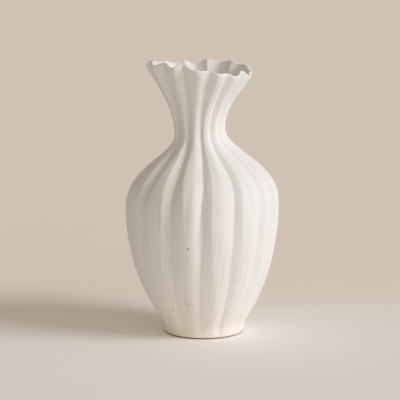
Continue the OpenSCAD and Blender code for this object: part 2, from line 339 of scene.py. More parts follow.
@dataclass(frozen=True)
class Form:
    """Sizes of the wall, in millimetres, as the part's source has them."""

    foot_r: float = 46.5
    belly_r: float = 86
    belly_z: float = 146
    neck_r: float = 28.3
    neck_z: float = 228
    rim_r: float = 60.5
    rim_z: float = 300
    rim_flare: float = 18
    wall_t: float = 4
    lip_t: float = 3.8
    foot_groove_depth: float = 1.6
    belly_groove_depth: float = 4.4
    shoulder_groove_depth: float = 5
    neck_groove_depth: float = 3.4
    rim_groove_depth: float = 6
    rim_slope: float = 3
    ruffle_rise: float = 3
    belly_lean: float = 1.7
    neck_lean: float = 4.2
    rim_lean: float = 4
    belly_lift: float = 4
    neck_lift: float = 3.2
    rim_drop: float = 3.4
    slab_t: float = 8
    slab_taper: float = 1.6
    slab_edge_r: float = 1.4
    foot_ring_w: float = 11
    foot_hollow_depth: float = 2
    glaze_t: float = 0.5
    pad_r: float = 4.5
    pad_t: float = 1.2
    foot_curve: float = 0.05
    belly_low: float = 0.635
    belly_high: float = 0.548
    neck_low: float = 0.30
    neck_high: float = 0.446
    rim_curve: float = 0.214
    foot_turn: float = 0.14
    shoulder: float = 0.5
    bottom_round: float = 0.07
    left_softs: tuple = (0.5, 0.6, 0.5, 0.5, 0.4, 0.5, 0.6, 0.5, 0.4, 0.5, 0.6, 0.5, 0.3, 0.22)
    right_softs: tuple = (0.15, 0.4, 0.4, 0.3, 0.4, 0.3, 0.2, 0.4, 0.3, 0.4, 0.3, 0.2, 0.3, 0.15)
    belly_places: tuple = (
        -0.03, -0.03, -0.08, -0.05, 0.04, 0.06, -0.02, -0.05, 0.03, 0.05, 0, -0.04, -0.05, 0.01
    )
    shoulder_places: tuple = (0.07, 0.1, 0.06, 0, 0.03, 0.08, 0, 0, 0.05, 0.03, -0.04, -0.08, -0.02, 0.05)
    neck_places: tuple = (0.12, -0.04, -0.08, 0, 0, 0.08, -0.04, 0.06, 0.1, 0, -0.08, -0.1, -0.4, -0.12)
    rim_places: tuple = (0.42, 0.25, 0.18, 0.45, 0.55, 0.42, 0.65, 0.8, 0.92, 0.65, 0.35, 0.1, 0.27, 0.22)
    belly_depths: tuple = (1, 0.95, 0.8, 0.7, 0.9, 1, 0.8, 1, 0.95, 0.9, 0.7, 0.4, 0.1, 1.2)
    shoulder_depths: tuple = (1, 0.95, 0.75, 0.8, 0.95, 1, 0.9, 1, 0.95, 0.95, 0.8, 1, 1.5, 1.2)
    neck_depths: tuple = (0.75, 0.45, 0.6, 0.9, 1, 0.9, 1, 1, 0.95, 1, 0.9, 1, 1.3, 1.4)
    rim_depths: tuple = (1.05, 0.7, 0.85, 0.3, 0.3, 0.8, 1, 1.1, 1, 0.9, 0.8, 0.9, 1, 1.05)
    foot_lefts: tuple = (0.4, 0.4, 0.36, 0.4, 0.4, 0.4, 0.5, 0.4, 0.4, 0.4, 0.5, 0.4, 0.3, 0.45)
    belly_lefts: tuple = (0.34, 0.44, 0.36, 0.4, 0.36, 0.36, 0.44, 0.36, 0.34, 0.36, 0.42, 0.4, 0.3, 0.24)
    shoulder_lefts: tuple = (0.4, 0.46, 0.4, 0.42, 0.4, 0.4, 0.44, 0.38, 0.4, 0.38, 0.44, 0.4, 0.26, 0.36)
    neck_lefts: tuple = (0.46, 0.5, 0.45, 0.42, 0.4, 0.42, 0.44, 0.4, 0.42, 0.4, 0.42, 0.4, 0.4, 0.24)
    rim_lefts: tuple = (0.42, 0.46, 0.5, 0.5, 0.5, 0.5, 0.5, 0.5, 0.5, 0.5, 0.5, 0.5, 0.48, 0.36)
    foot_rights: tuple = (0.54, 0.4, 0.34, 0.4, 0.34, 0.36, 0.32, 0.4, 0.42, 0.38, 0.36, 0.4, 0.4, 0.66)
    belly_rights: tuple = (0.31, 0.32, 0.28, 0.34, 0.36, 0.32, 0.3, 0.36, 0.36, 0.36, 0.32, 0.32, 0.4, 0.48)
    shoulder_rights: tuple = (
        0.31, 0.32, 0.26, 0.34, 0.36, 0.34, 0.3, 0.36, 0.36, 0.36, 0.34, 0.32, 0.36, 0.34
    )
    neck_rights: tuple = (0.26, 0.44, 0.42, 0.42, 0.44, 0.42, 0.4, 0.44, 0.42, 0.44, 0.42, 0.42, 0.85, 0.48)
    rim_rights: tuple = (0.42, 0.46, 0.48, 0.5, 0.5, 0.5, 0.48, 0.5, 0.5, 0.5, 0.5, 0.5, 0.7, 0.58)
    rim_peaks: tuple = (-0.1, -0.5, 0.5, -0.9, 1, 1.6, 0.8, -0.7, -1.1, -1.1, -0.9, 0.1, 0.7, 1.3)
    rim_dips: tuple = (-0.8, -1.3, -1.3, -0.4, 0.6, 0.3, -2, -1.9, -1.9, -1.6, -1.4, -1.2, -0.6, -0.4)
    foot_run_out: float = 0.9
    edge_run_out: float = 0.35

    @property
    def seat_z(self) -> float:
        """Height of the flat seat where the wall stands on the slab."""
        return self.pad_t + self.slab_t

    @property
    def shoulder_z(self) -> float:
        """Height at which the shoulder's grooves are deepest."""
        return self.belly_z + self.shoulder * (self.neck_z - self.belly_z)

    @property
    def edge_z(self) -> float:
        """Height at which the slab's side goes over into its rounded edge."""
        return self.pad_t + self.slab_edge_r

    @property
    def edge_r(self) -> float:
        """Radius of the slab's side over its rounded edge."""
        return self.foot_r - self.slab_taper

    @property
    def levels(self) -> list[float]:
        """Heights between which the grooves' places and reaches are eased."""
        return [self.seat_z, self.belly_z, self.shoulder_z, self.neck_z, self.rim_z]

    def outline(self, curve: Curve) -> Array:
        """Give the handles of one curve.

        Args:
            curve: The curve.

        Returns:
            Four handles, each a radius and a height.
        """
        low_h, shoulder_h, flare_h = (
            self.belly_z - self.seat_z,
            self.neck_z - self.belly_z,
            self.rim_z - self.neck_z,
        )
        tip = self.rim_curve * flare_h
        flare = math.radians(self.rim_flare)
        handles = {
            Curve.LOW: [
                [self.foot_r, self.seat_z],
                [self.foot_r, self.seat_z + self.foot_curve * low_h],
                [self.belly_r, self.belly_z - self.belly_low * low_h],
                [self.belly_r, self.belly_z],
            ],
            Curve.SHOULDER: [
                [self.belly_r, self.belly_z],
                [self.belly_r, self.belly_z + self.belly_high * shoulder_h],
                [self.neck_r, self.neck_z - self.neck_low * shoulder_h],
                [self.neck_r, self.neck_z],
            ],
            Curve.FLARE: [
                [self.neck_r, self.neck_z],
                [self.neck_r, self.neck_z + self.neck_high * flare_h],
                [self.rim_r - tip * math.sin(flare), self.rim_z - tip * math.cos(flare)],
                [self.rim_r, self.rim_z],
            ],
        }
        return np.array(handles[curve], float)

    def cubic(self, curve: Curve, t: Array) -> Array:
        """Give the places at shares t of the way up a curve."""
        return bezier(self.outline(curve), np.asarray(t, float)[..., None])

    def slope(self, curve: Curve, t: Array) -> Array:
        """Give the way that a curve runs at shares t."""
        p, t = self.outline(curve), np.asarray(t, float)[..., None]
        return 3 * (1 - t) ** 2 * (p[1] - p[0]) + 6 * (1 - t) * t * (p[2] - p[1]) + 3 * t**2 * (p[3] - p[2])

    def even_shares(self, curve: Curve, count: int) -> Array:
        """Split a curve into count parts of the same length.

        Args:
            curve: The curve.
            count: How many parts.

        Returns:
            The share of the way up at each end of the parts, count + 1 numbers.
        """
        t = np.linspace(0, 1, CURVE_SAMPLES)
        steps = np.linalg.norm(np.diff(self.cubic(curve, t), axis=0), axis=-1)
        length = np.concatenate([[0], np.cumsum(steps)])
        return np.interp(np.linspace(0, length[-1], count + 1), length, t)

    def length(self, curve: Curve) -> float:
        """Measure a curve."""
        places = self.cubic(curve, np.linspace(0, 1, CURVE_SAMPLES))
        return float(np.linalg.norm(np.diff(places, axis=0), axis=-1).sum())

    def angle(self, groove: Array, z: Array) -> Array:
        """Find the angle at which a place round the wall lies.

        Args:
            groove: Places round the wall, in grooves.
            z: Heights.

        Returns:
            Angles in radians.
        """
        left = np.floor(groove).astype(int)

        def line(k: Array) -> Array:
            """Say where the grooves' own lines run.

            Args:
                k: The grooves' numbers.

            Returns:
                Angles, in steps from one groove to the next.
            """
            tables = (self.belly_places, self.shoulder_places, self.neck_places, self.rim_places)
            belly, shoulder, neck, rim = (of_grooves(places, k) for places in tables)
            return k + eased(z, self.levels, [belly - self.foot_turn, belly, shoulder, neck, rim])

        share = groove - left
        return (line(left) * (1 - share) + line(left + 1) * share) * 2 * math.pi / GROOVES

    def depth(self, k: Array, z: Array) -> Array:
        """Say how deep grooves are on their lines.

        Args:
            k: The grooves' numbers.
            z: Heights.

        Returns:
            Depths.
        """
        tables = (self.belly_depths, self.shoulder_depths, self.neck_depths, self.rim_depths)
        belly, shoulder, neck, rim = (of_grooves(shares, k) for shares in tables)
        low_z = self.seat_z + self.slab_t
        return eased(
            z,
            [self.edge_z, self.seat_z, low_z, self.belly_z, self.shoulder_z, self.neck_z, self.rim_z],
            [
                self.edge_run_out * belly,
                self.foot_run_out * belly,
                self.foot_groove_depth * belly,
                self.belly_groove_depth * belly,
                self.shoulder_groove_depth * shoulder,
                self.neck_groove_depth * neck,
                self.rim_groove_depth * rim,
            ],
        )

    def reach(self, k: Array, z: Array, right: bool) -> Array:
        """Say how far grooves reach to one side.

        Args:
            k: The grooves' numbers.
            z: Heights.
            right: Whether the right side is meant, or else the left.

        Returns:
            Reaches, in grooves.
        """
        tables = (
            (self.foot_rights, self.belly_rights, self.shoulder_rights, self.neck_rights, self.rim_rights)
            if right
            else (self.foot_lefts, self.belly_lefts, self.shoulder_lefts, self.neck_lefts, self.rim_lefts)
        )
        return eased(z, self.levels, [of_grooves(reaches, k) for reaches in tables])

    def pressed_in(self, groove: Array, z: Array) -> Array:
        """Say how far the grooves press the wall in.

        Args:
            groove: Places round the wall, in grooves.
            z: Heights.

        Returns:
            Depths.
        """
        left = np.floor(groove).astype(int)
        share = groove - left

        def channel(k: Array, offset: Array, right: bool) -> Array:
            """Press in one side of a groove: a flat slope with a rounded bottom and a rounded edge.

            Args:
                k: The groove's number.
                offset: The way from its line, in grooves.
                right: Whether this is its right side.

            Returns:
                Depths.
            """
            x = np.clip(offset / self.reach(k, z, right), 0, 1)
            soft = of_grooves(self.right_softs if right else self.left_softs, k)
            fall = 1 / (1 - (self.bottom_round + soft) / 2)
            bottom = 1 - fall * x**2 / (2 * self.bottom_round)
            edge = fall * (1 - x) ** 2 / (2 * soft)
            side = 1 - fall * (x - self.bottom_round / 2)
            rounded = np.where(x < self.bottom_round, bottom, np.where(x > 1 - soft, edge, side))
            return self.depth(k, z) * rounded

        return channel(left, share, True) + channel(left + 1, 1 - share, False)

    def rim_rise(self, groove: Array) -> Array:
        """Say how high the rim stands over its mean.

        Args:
            groove: Places round the wall, in grooves.

        Returns:
            Heights.
        """
        left = np.floor(groove).astype(int)
        share = groove - left
        peak = of_grooves(self.rim_peaks, np.where(share < 0.5, left, left + 1))
        dip = of_grooves(self.rim_dips, left)
        return self.ruffle_rise * (dip + (peak - dip) * (1 + np.cos(2 * np.pi * share)) / 2)

    def thickness(self, z: Array) -> Array:
        """Give the wall's thickness at a height."""
        return eased(z, [self.neck_z, self.rim_z], [self.wall_t, self.lip_t])

    def stand(self, radius: Array, z: Array, up: Array, turn: Array) -> Array:
        """Stand a place of the outline upright in the leaning vase.

        Args:
            radius: Distance from the vase's leaning middle.
            z: The height that the lean follows.
            up: The point's own height.
            turn: The angle, in radians.

        Returns:
            Points.
        """
        heights = [self.seat_z, self.belly_z, self.neck_z, self.rim_z]
        middle = eased(z, heights, [0, -self.belly_lean, -self.neck_lean, -self.rim_lean])
        lift = eased(z, heights, [0, self.belly_lift, self.neck_lift, -self.rim_drop])
        x, y = middle + radius * np.sin(turn), -radius * np.cos(turn)
        return np.stack([x, y, up + lift * np.sin(turn)], -1)

    def wall(
        self, groove: Array, curve: Curve, shares: Array, inset: Array | float, climb: Array | float = 0
    ) -> Array:
        """Place rings of the wall.

        Args:
            groove: The columns' places, in grooves.
            curve: The curve that the rings lie on.
            shares: The rings' shares of the way up it.
            inset: How far inside the outside the points lie.
            climb: How far past it along the outline.

        Returns:
            Points, one row a ring.
        """
        s, share = groove[None, :], np.asarray(shares, float)[:, None]
        z = self.cubic(curve, share)[..., 1] + np.zeros_like(s)
        turn = self.angle(s, z)
        rise = self.rim_rise(s) - self.rim_slope * np.sin(turn)
        stretch = 1 + rise / self.slope(Curve.FLARE, 1.0)[1] if curve is Curve.FLARE else np.ones_like(z)
        t = share * stretch
        place, up = self.cubic(curve, t), unit(self.slope(curve, t))
        radius = place[..., 0] - self.pressed_in(s, z) - inset * up[..., 1] + climb * up[..., 0]
        return self.stand(radius, z, place[..., 1] + inset * up[..., 0] + climb * up[..., 1], turn)

    def slab_side(self, groove: Array, shares: Array) -> Array:
        """Place rings of the slab's side, from its rounded edge up to the seat.

        Args:
            groove: The columns' places, in grooves.
            shares: The rings' shares of the way up.

        Returns:
            Points, one row a ring.
        """
        t = np.asarray(shares, float)[:, None]
        tall = self.seat_z - self.edge_z
        radii = [self.edge_r, self.edge_r + self.slab_taper / 2, self.foot_r, self.foot_r]
        heights = [self.edge_z, self.edge_z + tall / 3, self.seat_z - tall / 3, self.seat_z]
        r, up = bezier(radii, t), bezier(heights, t)
        s = groove[None, :]
        z = up + np.zeros_like(s)
        return self.stand(r - self.pressed_in(s, z), z, z, self.angle(s, z))


@dataclass(frozen=True)
class Skin:
    """The outside from the slab's edge to the rim, worked out once for the two pieces that share it."""

    form: Form
    steps: int = 36
    side_rings: int = 4
    low_rings: int = 52
    shoulder_rings: int = 40
    flare_rings: int = 34
    lumps: float = 0.26
    ridges: float = 0.08
    fine_ridges: float = 0.04
    smooth_lip: float = 5
    foot_thinning: float = 0.44
    thinning_height: float = 54
    patchiness: float = 0.15
    broad_lumps: Waves = Waves(11, 30, 26)
    small_lumps: Waves = Waves(12, 66, 15)
    close_ridges: Waves = Waves(13, 190, 42)
    long_ridges: Waves = Waves(14, 118, 70)
    short_ridges: Waves = Waves(15, 252, 12)
    patches: Waves = Waves(21, 24, 22)

    @property
    def groove(self) -> Array:
        """Places of the columns, in grooves."""
        return np.arange(GROOVES * self.steps) / self.steps

    @property
    def curves(self) -> tuple[tuple[Curve, int], ...]:
        """The curves from the foot up, each with its count of rings."""
        return tuple(zip(Curve, (self.low_rings, self.shoulder_rings, self.flare_rings)))

    def climbs(self) -> Array:
        """Measure how far up the outline the rings lie.

        Returns:
            Each ring's length up it, from the slab's edge.
        """
        form = self.form
        parts = [np.linspace(0, form.seat_z - form.edge_z, self.side_rings + 1)]
        for curve, count in self.curves:
            parts.append(parts[-1][-1] + np.linspace(0, form.length(curve), count + 1)[1:])
        return np.concatenate(parts)

    def relief(self, climb: Array) -> Array:
        """Say how far the hand-made surface stands off the even form.

        Args:
            climb: Each ring's length up the outline.

        Returns:
            A distance for each ring and column.
        """
        s, up = self.groove[None, :], climb[:, None]
        lumps = self.broad_lumps.at(s, up) + 0.5 * self.small_lumps.at(s, up)
        ridges = self.close_ridges.at(s, up) + 0.6 * self.long_ridges.at(s, up)
        fine = self.short_ridges.at(s, up)
        fade = ease((climb[-1] - up) / self.smooth_lip)
        return (self.lumps * lumps + self.ridges * ridges + self.fine_ridges * fine) * fade

    def thinned(self, climb: Array) -> Array:
        """Say how thin the coat gets towards the foot.

        Args:
            climb: Each ring's length up the outline.

        Returns:
            A share for each ring and column.
        """
        up = climb[:, None]
        patches = self.patches.at(self.groove[None, :], up)
        fade = np.exp(-np.maximum(up, 0) / self.thinning_height)
        return self.foot_thinning * fade * (1 + self.patchiness * patches)

    def build(self) -> Grid:
        """Make the rings with the relief on them.

        Returns:
            The rings, with each point's outward direction.
        """
        form, s = self.form, self.groove
        parts = [form.slab_side(s, np.linspace(0, 1, self.side_rings + 1)[:-1])]
        for curve, count in self.curves:
            first = 0 if curve is Curve.LOW else 1
            parts.append(form.wall(s, curve, form.even_shares(curve, count)[first:], 0))
        rings = np.concatenate(parts)
        even = Grid(rings)
        rough = Grid(rings + self.relief(self.climbs())[..., None] * even.outward())
        rough.normals = rough.outward()
        return rough


def flow(groove: Array, climb: Array, round_r: float) -> Array:
    """Unroll the wall for the brush strokes: a cylinder's place, as tall as the outline is long.

    Args:
        groove: Places of the columns, in grooves.
        climb: Each ring's length up the outline.
        round_r: Radius of the cylinder.

    Returns:
        One place in metres for each ring and column.
    """
    return around(round_r, groove[None, :] * 2 * math.pi / GROOVES, climb[:, None]) * MM


# Shaders


class Value:
    """A number that runs through a shader. Python's operators on it add Math nodes."""

    def __init__(self, maker: "Nodes", socket: bpy.types.NodeSocket) -> None:
        """Wrap one output socket."""
        self.maker = maker
        self.socket = socket

    def math(self, operation: str, *others: "Value | float") -> "Value":
        """Add a Math node with this value first."""
        return self.maker.add("ShaderNodeMath", {"operation": operation}, dict(enumerate((self, *others))))

    def __add__(self, other: "Value | float") -> "Value":
        """Add."""
        return self.math("ADD", other)

    __radd__ = __add__

    def __mul__(self, other: "Value | float") -> "Value":
        """Multiply."""
        return self.math("MULTIPLY", other)

    __rmul__ = __mul__

    def __sub__(self, other: "Value | float") -> "Value":
        """Subtract another value from this one."""
        return self.math("SUBTRACT", other)

    def __rsub__(self, other: float) -> "Value":
        """Subtract this value from a number."""
        return self.math("MULTIPLY", -1.0) + other

    def between(self, low: float, high: float) -> "Value":
        """Go smoothly from 0 at low to 1 at high."""
        sockets = {"Value": self, "From Min": low, "From Max": high}
        return self.maker.add("ShaderNodeMapRange", {"interpolation_type": "SMOOTHSTEP"}, sockets)


Link = Value | float | tuple


class Nodes:
    """Makes the nodes of one material or world."""

    def __init__(self, tree: bpy.types.NodeTree) -> None:
        """Start on an empty tree."""
        self.tree = tree
        tree.nodes.clear()

    def add(self, kind: str, settings: dict, sockets: dict, output: str | int | None = 0) -> Value | None:
        """Add one node.

        Args:
            kind: The node's type.
            settings: Its own settings.
            sockets: Values or links for its inputs, by name or number.
            output: The output to go on with, or None at the end of a tree.

        Returns:
            The output, to use in expressions.
        """
        node = self.tree.nodes.new(kind)
        for name, value in settings.items():
            setattr(node, name, value)
        for name, value in sockets.items():
            socket = node.inputs[name]
            if isinstance(value, Value):
                self.tree.links.new(value.socket, socket)
            else:
                socket.default_value = value
        return None if output is None else Value(self, node.outputs[output])

    def mark(self, mark: Mark, output: str = "Fac") -> Value:
        """Read a vertex mark."""
        return self.add("ShaderNodeAttribute", {"attribute_name": mark.value}, {}, output)

    def stretched(self, place: Value, stretch: tuple[float, float, float]) -> Value:
        """Stretch a place's three axes."""
        return self.add("ShaderNodeVectorMath", {"operation": "MULTIPLY"}, {0: place, 1: stretch})

    def noise(self, place: Value, scale: float, detail: float = 3, rough: float = 0.5) -> Value:
        """Add soft noise, from 0 to 1."""
        sockets = {"Vector": place, "Scale": scale, "Detail": detail, "Roughness": rough}
        return self.add("ShaderNodeTexNoise", {}, sockets)

    def mix(self, share: Value | float, low: Link, high: Link) -> Value:
        """Mix two colours."""
        sockets = {0: share, 6: low, 7: high}
        return self.add("ShaderNodeMix", {"data_type": "RGBA"}, sockets, 2)

    def bump(self, height: Value, depth: float, strength: float) -> Value:
        """Turn a height into a bumpy normal."""
        return self.add("ShaderNodeBump", {}, {"Height": height, "Distance": depth, "Strength": strength})

    def surface(self, sockets: dict) -> None:
        """End a material with its shader."""
        shader = self.add("ShaderNodeBsdfPrincipled", {}, sockets)
        self.add("ShaderNodeOutputMaterial", {}, {"Surface": shader}, None)


def colour(red: float, green: float, blue: float) -> tuple[float, float, float, float]:
    """Turn a colour as a screen shows it into a shader's.

    Args:
        red: Its red, from 0 to 255.
        green: Its green, from 0 to 255.
        blue: Its blue, from 0 to 255.

    Returns:
        Red, green, blue and an alpha of 1, from 0 to 1.
    """

    def linear(v: float) -> float:
        """Undo the screen's curve."""
        c = v / 255
        return c / 12.92 if c <= 0.04045 else ((c + 0.055) / 1.055) ** 2.4

    return (linear(red), linear(green), linear(blue), 1.0)


def material(name: str, paint: Callable[[Nodes], None]) -> bpy.types.Material:
    """Make a material and paint its nodes.

    Args:
        name: The material's name.
        paint: The method that adds its nodes.

    Returns:
        The new material.
    """
    made = bpy.data.materials.new(name)
    made.use_nodes = True
    paint(Nodes(made.node_tree))
    return made


@dataclass(frozen=True)
class ChalkCoat:
    """A dry, chalky white coat brushed over pinkish clay, thin on the foot and worn off its ring, with
    painted shade darkening its grooves.
    """

    chalk: tuple = colour(241, 240, 239)
    # The thin coat's tint, which also paints the shade in the grooves
    thin_chalk_and_shade: tuple = colour(226, 221, 216)
    cream: tuple = colour(245, 237, 227)
    clay: tuple = colour(206, 174, 148)
    dark_clay: tuple = colour(190, 156, 130)
    rust: tuple = colour(146, 104, 78)
    pit: tuple = colour(92, 76, 64)
    # How many waves of each noise go into a metre
    stroke_scale: float = 560
    broad_scale: float = 95
    cloud_scale: float = 38
    grain_scale: float = 1500
    dry_scale: float = 24
    speck_scale: float = 900
    lump_scale: float = 700
    # In metres
    relief: float = 0.00028

    def paint(self, n: Nodes) -> None:
        """Lay the coat over the clay.

        Args:
            n: The material's nodes.
        """
        place = n.mark(Mark.FLOW, "Vector")
        bare, darkness, hollow = n.mark(Mark.BARE), n.mark(Mark.DIRT), n.mark(Mark.HOLLOW)
        strokes = n.noise(n.stretched(place, (1, 1, 0.05)), self.stroke_scale, 4, 0.6)
        broad = n.noise(n.stretched(place, (1, 1, 0.12)), self.broad_scale, 3, 0.5)
        clouds = n.noise(place, self.cloud_scale, 3, 0.55)
        grain = n.noise(place, self.grain_scale, 2, 0.6)
        dry = n.noise(n.stretched(place, (1, 1, 0.4)), self.dry_scale, 2, 0.5).between(0.35, 0.65)
        brushed = strokes.between(0.4, 0.64) * (0.12 + dry * 0.36)
        # Painted shade: hollow, how deep the coat lies in a groove, shifts it towards the thin tint
        thin = brushed + broad.between(0.4, 0.75) * 0.35 + hollow * 0.2
        coat = n.mix(thin, self.chalk, self.thin_chalk_and_shade)
        tint = bare * (0.8 + clouds * 0.4)
        body = n.mix(grain, self.clay, self.dark_clay)
        shown = n.mix(tint.between(0.55, 1.25), n.mix(tint.between(0.0, 0.5), coat, self.cream), body)
        speck = n.noise(place, self.speck_scale, 2, 0.6).between(0.73, 0.78) * (0.18 + bare)
        rusty = n.mix(speck.math("MINIMUM", 0.6), shown, self.rust)
        # The pin holes' colour, darker towards their floors
        base = n.mix(darkness.math("MINIMUM", 1.0), rusty, self.pit)
        height = strokes * 0.9 + grain * 0.25 + n.noise(place, self.lump_scale, 2, 0.5) * 0.3
        n.surface(
            {
                "Base Color": base,
                "Roughness": 0.78 + grain * 0.16,
                "Specular IOR Level": 0.28,
                "Normal": n.bump(height, self.relief, 0.7),
            }
        )


@dataclass(frozen=True)
class SatinGlaze:
    """An off-white satin glaze, a little darker low down with painted shade, with a few hair cracks."""

    glaze: tuple = colour(236, 233, 224)
    darker_glaze: tuple = colour(214, 208, 192)
    crack: tuple = colour(176, 164, 142)
    cloud_scale: float = 45
    drift_scale: float = 260
    crack_scale: float = 75
    # In metres
    relief: float = 0.0005

    def paint(self, n: Nodes) -> None:
        """Lay the glaze.

        Args:
            n: The material's nodes.
        """
        place = n.mark(Mark.FLOW, "Vector")
        clouds = n.noise(place, self.cloud_scale, 3, 0.5)
        drift = n.noise(place, self.drift_scale, 2, 0.5)
        cells = {"Vector": place, "Scale": self.crack_scale}
        cell = n.add("ShaderNodeTexVoronoi", {"feature": "DISTANCE_TO_EDGE"}, cells, "Distance")
        crack = (1 - cell.between(0.004, 0.018)) * drift.between(0.5, 0.62) * 0.5
        # Painted shade towards the floor, mixed with random cloudy patches
        darker_glaze = n.mark(Mark.HOLLOW) * 0.6 + clouds.between(0.4, 0.7) * 0.4
        base = n.mix(crack, n.mix(darker_glaze, self.glaze, self.darker_glaze), self.crack)
        n.surface(
            {
                "Base Color": base,
                "Roughness": 0.26 + drift * 0.14,
                "Normal": n.bump(clouds + drift * 0.4, self.relief, 0.35),
                "Coat Weight": 0.25,
                "Coat Roughness": 0.18,
            }
        )


@dataclass(frozen=True)
class PressedFelt:
    """Grey-brown pressed felt: matted short fibres."""

    fibre: tuple = colour(118, 108, 98)
    dark_fibre: tuple = colour(84, 76, 68)
    wisp_scale: float = 2600
    crossed_scale: float = 2300
    # In metres
    relief: float = 0.0004

    def paint(self, n: Nodes) -> None:
        """Mat the fibres.

        Args:
            n: The material's nodes.
        """
        place = n.add("ShaderNodeTexCoord", {}, {}, "Object")
        wisps = n.noise(n.stretched(place, (1, 0.35, 1)), self.wisp_scale, 4, 0.7)
        crossed = n.noise(n.stretched(place, (0.35, 1, 1)), self.crossed_scale, 4, 0.7)
        matted = (wisps + crossed) * 0.5
        n.surface(
            {
                "Base Color": n.mix(matted.between(0.35, 0.65), self.dark_fibre, self.fibre),
                "Roughness": 0.95,
                "Specular IOR Level": 0.1,
                "Sheen Weight": 0.35,
                "Sheen Roughness": 0.5,
                "Normal": n.bump(matted, self.relief, 0.9),
            }
        )


@dataclass(frozen=True)
class StudioFloor:
    """Plain pale paper under the vase, which goes over into the warmer backdrop behind it."""

    near: tuple = colour(254, 250, 248)
    far: tuple = colour(254, 243, 231)
    # In metres behind the vase's middle
    turn_start: float = 0.03
    turn_end: float = 0.2
    fibre_scale: float = 160

    def paint(self, n: Nodes) -> None:
        """Fade the floor into the backdrop.

        Args:
            n: The material's nodes.
        """
        place = n.add("ShaderNodeNewGeometry", {}, {}, "Position")
        depth = n.add("ShaderNodeSeparateXYZ", {}, {0: place}, "Y")
        fibres = n.noise(place, self.fibre_scale, 3, 0.5) * 0.02
        share = depth.between(self.turn_start, self.turn_end) + fibres
        base = n.mix(share, self.near, self.far)
        n.surface({"Base Color": base, "Roughness": 0.9, "Specular IOR Level": 0.1})


# Pieces


def dress(piece: bpy.types.Object, finish: bpy.types.Material, slot: str, *nodes: str) -> None:
    """Give a piece its finish and its place among the solids.

    Args:
        piece: The piece.
        finish: Its material.
        slot: The record's material slot; not used.
        *nodes: The solids that it stands for.
    """
    piece.data.materials.append(finish)
    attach(piece, BODY)
    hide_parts(*nodes)
    log.info("%s: %d faces", piece.name, len(piece.data.polygons))


@dataclass(frozen=True)
class Scar:
    """A worn or rusty place in the coat."""

    groove: float
    climb: float
    wide: float
    tall: float
    strength: float


